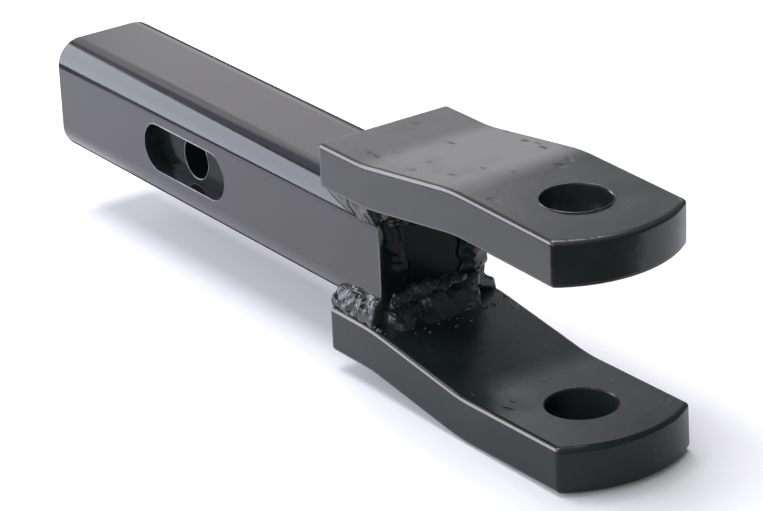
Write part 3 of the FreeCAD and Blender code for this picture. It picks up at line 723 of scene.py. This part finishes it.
# %% Front welds
REACH_WANDER, FRONT_WAVE = 0.9 * MM, 14 * MM  # how the toe on the bar strays
RAGGED, RAGGED_WAVE = 1.0 * MM, 10 * MM  # how the toe on the tube's end strays
REACH_LOSS, HEIGHT_LOSS, LOSS_POWER = 0.5, 0.25, 4  # shares lost towards the two ends, and how late
ROOT_SUNK = 0.3 * MM


def front_bead(name, side, near, far, low, high, reach, crown, hill, back=1.0 * MM, steps=230):
    """Bead across the tube's front end, from near to far. low and high are its toes' distances to the bar."""
    y = np.linspace(near, far, steps)
    wobble = waves(stack(0, y, 0), FRONT_WAVE)
    narrow = np.abs(2 * (y - near) / (far - near) - 1) ** LOSS_POWER
    toe_x = TUBE_FRONT + reach * (1 - REACH_LOSS * narrow) + REACH_WANDER * wobble
    toe_z = TUBE_HALF + bar_rise(toe_x) + SUNK - low
    bar_toe = stack(toe_x, y, side * toe_z)
    ragged = RAGGED * waves(stack(0, y, 0), RAGGED_WAVE)
    top = stack(TUBE_FRONT - back, y, side * (TUBE_HALF - high * (1 - HEIGHT_LOSS * narrow) + ragged))
    root = stack(TUBE_FRONT - back, y, side * (TUBE_HALF + ROOT_SUNK))
    outward = np.broadcast_to(np.array([1, 0, -side]) / math.sqrt(2), bar_toe.shape)
    return bead(name, bar_toe, top, root, outward, crown, hill, pitch=2.1 * MM, lumpy=0.50, ripple=0.05,
                first_end=4 * MM, last_end=4 * MM, across=56)


for height, side in (("upper", 1), ("lower", -1)):
    fat = front_bead(
        f"{height}_front_bead", side, near=-25.0 * MM, far=20.5 * MM,
        low=0, high=8.5 * MM, reach=10.0 * MM, crown=1.2 * MM, hill=4.4 * MM,
    )
    fit_weld(fat, f"{height}_front_weld", paint=FRONT_WELD_SHADED_PAINT)
    thin = front_bead(
        f"{height}_front_second_pass", side, near=-23.0 * MM, far=23.5 * MM,
        low=4.0 * MM, high=12.6 * MM, reach=2.4 * MM, crown=1.0 * MM, hill=3.6 * MM,
    )
    fit_weld(thin, f"{height}_front_weld", paint=FRONT_WELD_SHADED_PAINT)

# %% [markdown]
# Behind each bar's tail a bead crosses the tube and wraps round its corners, where it runs into the side
# beads.

# %% Rear welds
REAR_ENDS = 4.0 * MM  # from the tube's side to the bead's end
REAR_WANDER, REAR_WAVE = 0.5 * MM, 9 * MM


def rear_bead(name, side, tail, along=6.0 * MM, up=8.5 * MM, steps=230):
    """Bead against a bar's tail. The tube's top falls away at the corners, and the lower toe follows it."""
    half = TUBE_HALF - REAR_ENDS
    y = np.linspace(-half, half, steps)
    wobble = waves(stack(0, y, 0), REAR_WAVE)
    tube_toe = stack(tail - along + REAR_WANDER * wobble, y, side * (tube_top(y) - SUNK))
    bar_toe = stack(tail + SUNK, y, side * (TUBE_HALF + up + REAR_WANDER * wobble))
    root = stack(tail + 2 * SUNK, y, side * (tube_top(y) - SUNK))
    outward = np.broadcast_to(np.array([-1, 0, side]) / math.sqrt(2), tube_toe.shape)
    return bead(name, tube_toe, bar_toe, root, outward, crown=1.2 * MM, hill=3.6 * MM)


fit_weld(rear_bead("upper_rear_bead", 1, UPPER_TAIL), "upper_rear_weld")
fit_weld(rear_bead("lower_rear_bead", -1, LOWER_TAIL), "lower_rear_weld")

# %% [markdown]
# A low, rough strip of weld closes the seam between the tube's wall and the core, up each side of the
# front end. The one on the far side stands proud of the tube and ends in a notch above the lower weld.

# %% Seam welds
INNER_WANDER, OUTER_WANDER, SEAM_WAVE = 0.5 * MM, 0.2 * MM, 8 * MM
TOE_SUNK, SEAM_ROOT = 0.25 * MM, 1.2 * MM  # depths of the toes and of the root under the front end


def seam_bead(name, hand, inner, outer, low, high, crown, hill, lumpy, ripple, steps=170):
    """Upright bead on the front end, from the height low to high, between two distances from the middle."""
    z = np.linspace(low, high, steps)
    wobble = waves(stack(0, 0, z), SEAM_WAVE)
    inner_toe = stack(TUBE_FRONT - TOE_SUNK, hand * (inner + INNER_WANDER * wobble), z)
    outer_toe = stack(TUBE_FRONT - TOE_SUNK, hand * (outer + OUTER_WANDER * wobble), z)
    root = stack(TUBE_FRONT - SEAM_ROOT, hand * (inner + outer) / 2, z)
    outward = np.broadcast_to(np.array([1.0, 0, 0]), inner_toe.shape)
    return bead(name, inner_toe, outer_toe, root, outward, crown, hill, lumpy=lumpy, ripple=ripple)


near_seam = seam_bead(
    "near_seam_bead", -1, inner=12.6 * MM, outer=24.9 * MM, low=-18 * MM, high=20 * MM,
    crown=0.5 * MM, hill=3.6 * MM, lumpy=0.08, ripple=0.008,
)
fit_weld(near_seam, "near_end_weld", paint=CORE_SHADED_PAINT)
far_seam = seam_bead(
    "far_seam_bead", 1, inner=13.0 * MM, outer=26.5 * MM, low=-15 * MM, high=20 * MM,
    crown=1.6 * MM, hill=2.8 * MM, lumpy=0.14, ripple=0.03,
)
fit_weld(far_seam, "far_end_weld", paint=FRONT_WELD_SHADED_PAINT)

# %% [markdown]
# Drops of molten steel flew off the welds and froze on the bars as small balls, and the paint went over
# them. Each is a ball of few faces, half sunk, and all of them are one mesh. A point of a ball is its
# centre plus its radius times (sin a cos b, sin a sin b, cos a).

# %% Spatter
DROPS, DROP_RADII = 44, (0.4, 1.2)
DROPS_START, DROPS_SPREAD, DROPS_END = 9 * MM, 7 * MM, 22 * MM  # distances from the tube's front end
BESIDE_SHARE = 0.3  # part of the drops that may lie beside the tube
BESIDE_START, BESIDE_REACH, BESIDE_END = 4 * MM, 14 * MM, 8 * MM  # their run, and where it is over
DROPS_INSET, BESIDE_GAP, BESIDE_INSET = 2.5 * MM, 3.5 * MM, 2 * MM  # kept free along bar's edge and tube


def balls(centres, radii, rows=5, columns=8):
    """Points and quads of many small balls, each a grid of rows and columns that meets at its poles."""
    a = np.linspace(0, np.pi, rows + 1)[:, None]
    b = np.arange(columns)[None, :] * 2 * np.pi / columns
    one = np.stack([np.sin(a) * np.cos(b), np.sin(a) * np.sin(b), np.cos(a) + 0 * b], axis=-1).reshape(-1, 3)
    points = centres[:, None] + one[None] * radii[:, None, None]
    i, j = np.meshgrid(np.arange(rows), np.arange(columns), indexing="ij")
    k = (j + 1) % columns
    below = (i + 1) * columns
    quads = np.stack([i * columns + j, below + j, below + k, i * columns + k], axis=-1)
    start = np.arange(len(centres))[:, None, None] * len(one)
    return points.reshape(-1, 3), (quads.reshape(1, -1, 4) + start).reshape(-1, 4)


def spatter_on_lower_bar(count):
    """Drops on the lower bar's inner face, thick near the weld and thin further off, some beside the tube."""
    x = TUBE_FRONT + DROPS_START + RNG.exponential(DROPS_SPREAD, count)
    y = RNG.uniform(-BAR_HALF + DROPS_INSET, BAR_HALF - DROPS_INSET, count)
    moved = RNG.random(count) < BESIDE_SHARE
    x = np.where(moved, TUBE_FRONT - BESIDE_START + RNG.uniform(0, BESIDE_REACH, count), x)
    beside = np.sign(y) * RNG.uniform(TUBE_HALF + BESIDE_GAP, BAR_HALF - BESIDE_INSET, count)
    y = np.where(x < TUBE_FRONT + BESIDE_END, beside, y)
    keep = x < TUBE_FRONT + DROPS_END
    return stack(x, y, -(TUBE_HALF + bar_rise(x)))[keep]


drops = spatter_on_lower_bar(DROPS)
radii = RNG.uniform(*DROP_RADII, len(drops)) * MM
points, faces = balls(drops, radii)
spatter = mesh_object("weld_spatter", points, faces.tolist())
wear(spatter, FRONT_WELD_SHADED_PAINT)
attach(spatter, "root")
print("drops of spatter:", len(drops))

# %% [markdown]
# The drill left a fine lip at the mouth of each hole and the cutter left one round each slot, so a thin
# bright line follows each rim. On the slots and the pin holes the paint has rubbed off it and the steel
# shines through. Each lip is a thin ring, mostly sunk in the steel, whose thickness wavers a little. A
# point of it is the centre plus (R + r cos b) (cos a, sin a) across the hole, and r sin b along it.

# %% Lips of the holes
PIN_X, PIN_BORE, PIN_FACE = -239.3 * MM, 9.15 * MM, 18.95 * MM  # hitch-pin hole and the core's side
SLOT_HALF, SLOT_STRAIGHT = 10.7 * MM, 20.6 * MM
CLEVIS_BORE, BORE_CHAMFER = 14.1 * MM, 0.6 * MM
NOSE_INNER, NOSE_OUTER = 33.42 * MM, 52.47 * MM  # heights of a bar's two faces at its nose
# Half thickness of each kind of lip, how far outside the hole's radius it runs and how deep it is sunk.
PIN_LIP, PIN_LIP_OUT, PIN_LIP_SUNK = 0.36 * MM, 0.25 * MM, 0.05 * MM
SLOT_LIP, SLOT_LIP_OUT, SLOT_LIP_SUNK = 0.30 * MM, 0.15 * MM, 0.12 * MM
HOLE_LIP, OUTER_LIP_SUNK, INNER_LIP_SUNK = 0.28 * MM, 0.44 * MM, 0.15 * MM
LIP_WAVER, LIP_WAVE = 0.25, 7 * MM


def lips(name, rings, paint, around=120, section=10):
    """Thin rings as one mesh, each (centre, axis number, big radius, small radius, half straight along X)."""
    a = np.linspace(0, 2 * np.pi, around, endpoint=False)[:, None]
    b = np.linspace(0, 2 * np.pi, section, endpoint=False)[None, :]
    i, j = np.meshgrid(np.arange(around), np.arange(section), indexing="ij")
    i2, j2 = (i + 1) % around, (j + 1) % section
    quads = np.stack([i * section + j, i2 * section + j, i2 * section + j2, i * section + j2], axis=-1)
    all_points, all_faces = [], []
    for centre, axis, big, small, straight in rings:
        waver = 1 + LIP_WAVER * waves(stack(np.cos(a) * big, np.sin(a) * big, 0), LIP_WAVE)
        out = big + small * waver * np.cos(b)
        parts = [straight * np.sign(np.cos(a)) + out * np.cos(a), out * np.sin(a)]
        parts.insert(axis, small * waver * np.sin(b))
        points = (stack(*parts) + np.array(centre)).reshape(-1, 3)
        faces = quads.reshape(-1, 4) + sum(len(part) for part in all_points)
        if signed_volume(points, quads.reshape(-1, 4)) < 0:
            faces = faces[:, ::-1]
        all_points.append(points)
        all_faces.append(faces)
    piece = mesh_object(name, np.vstack(all_points), np.vstack(all_faces).tolist())
    wear(piece, paint)
    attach(piece, "root")
    print(name, "rings:", len(rings))


lips("pin_hole_lips", [
    ((PIN_X, side * (PIN_FACE - PIN_LIP_SUNK), 0), 1, PIN_BORE + PIN_LIP_OUT, PIN_LIP, 0) for side in (-1, 1)
], EDGE_PAINT)
lips("slot_lips", [
    ((PIN_X, side * (TUBE_HALF - SLOT_LIP_SUNK), 0), 1, SLOT_HALF + SLOT_LIP_OUT, SLOT_LIP, SLOT_STRAIGHT)
    for side in (-1, 1)
], EDGE_PAINT)
for name, side, paint in (("upper", 1, UPPER_PAINT), ("lower", -1, LOWER_SHADED_PAINT)):
    lips(f"{name}_hole_lips", [
        ((0, 0, side * (NOSE_OUTER - OUTER_LIP_SUNK)), 2, CLEVIS_BORE + BORE_CHAMFER / 2, HOLE_LIP, 0),
        ((0, 0, side * (NOSE_INNER + INNER_LIP_SUNK)), 2, CLEVIS_BORE + BORE_CHAMFER, HOLE_LIP, 0),
    ], paint)

# %% [markdown]
# On each upright edge of the tube's front end the paint has worn thin and the steel shines through in a
# light line. It is a slender rod that bulges a third of a millimetre out of the edge.

# %% Worn front edges
EDGE_HALF, EDGE_RADIUS, EDGE_SUNK = 13.5 * MM, 0.36 * MM, 0.1 * MM
END_RADIUS, END_TAPER = 0.1, 8  # share of the radius at the very ends, and how fast it grows
ROD_WAVER, ROD_WAVE = 0.25, 6 * MM


def rod(name, first, last, radius, paint, slot, rings=60, section=10):
    """A closed rod along Z: the line from first to last plus radius (cos a, sin a), slimmer at its ends."""
    a = np.arange(section) * 2 * np.pi / section
    s = np.linspace(0, 1, rings)[:, None]
    line = np.array(first) + (np.array(last) - np.array(first)) * s
    taper = np.clip(END_TAPER * s * (1 - s), END_RADIUS, 1)
    slim = radius * taper * (1 + ROD_WAVER * waves(line, ROD_WAVE)[:, None])
    circle = stack(slim * np.cos(a), slim * np.sin(a), 0)
    piece = close_rings(name, line[:, None] + circle)
    wear(piece, paint)
    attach(piece, "root")


for flank, hand in (("near", -1), ("far", 1)):
    corner = TUBE_FRONT - EDGE_SUNK, hand * (TUBE_HALF - EDGE_SUNK)
    ends = (*corner, -EDGE_HALF), (*corner, EDGE_HALF)
    rod(f"{flank}_front_edge", *ends, EDGE_RADIUS, EDGE_PAINT, "tube_paint")
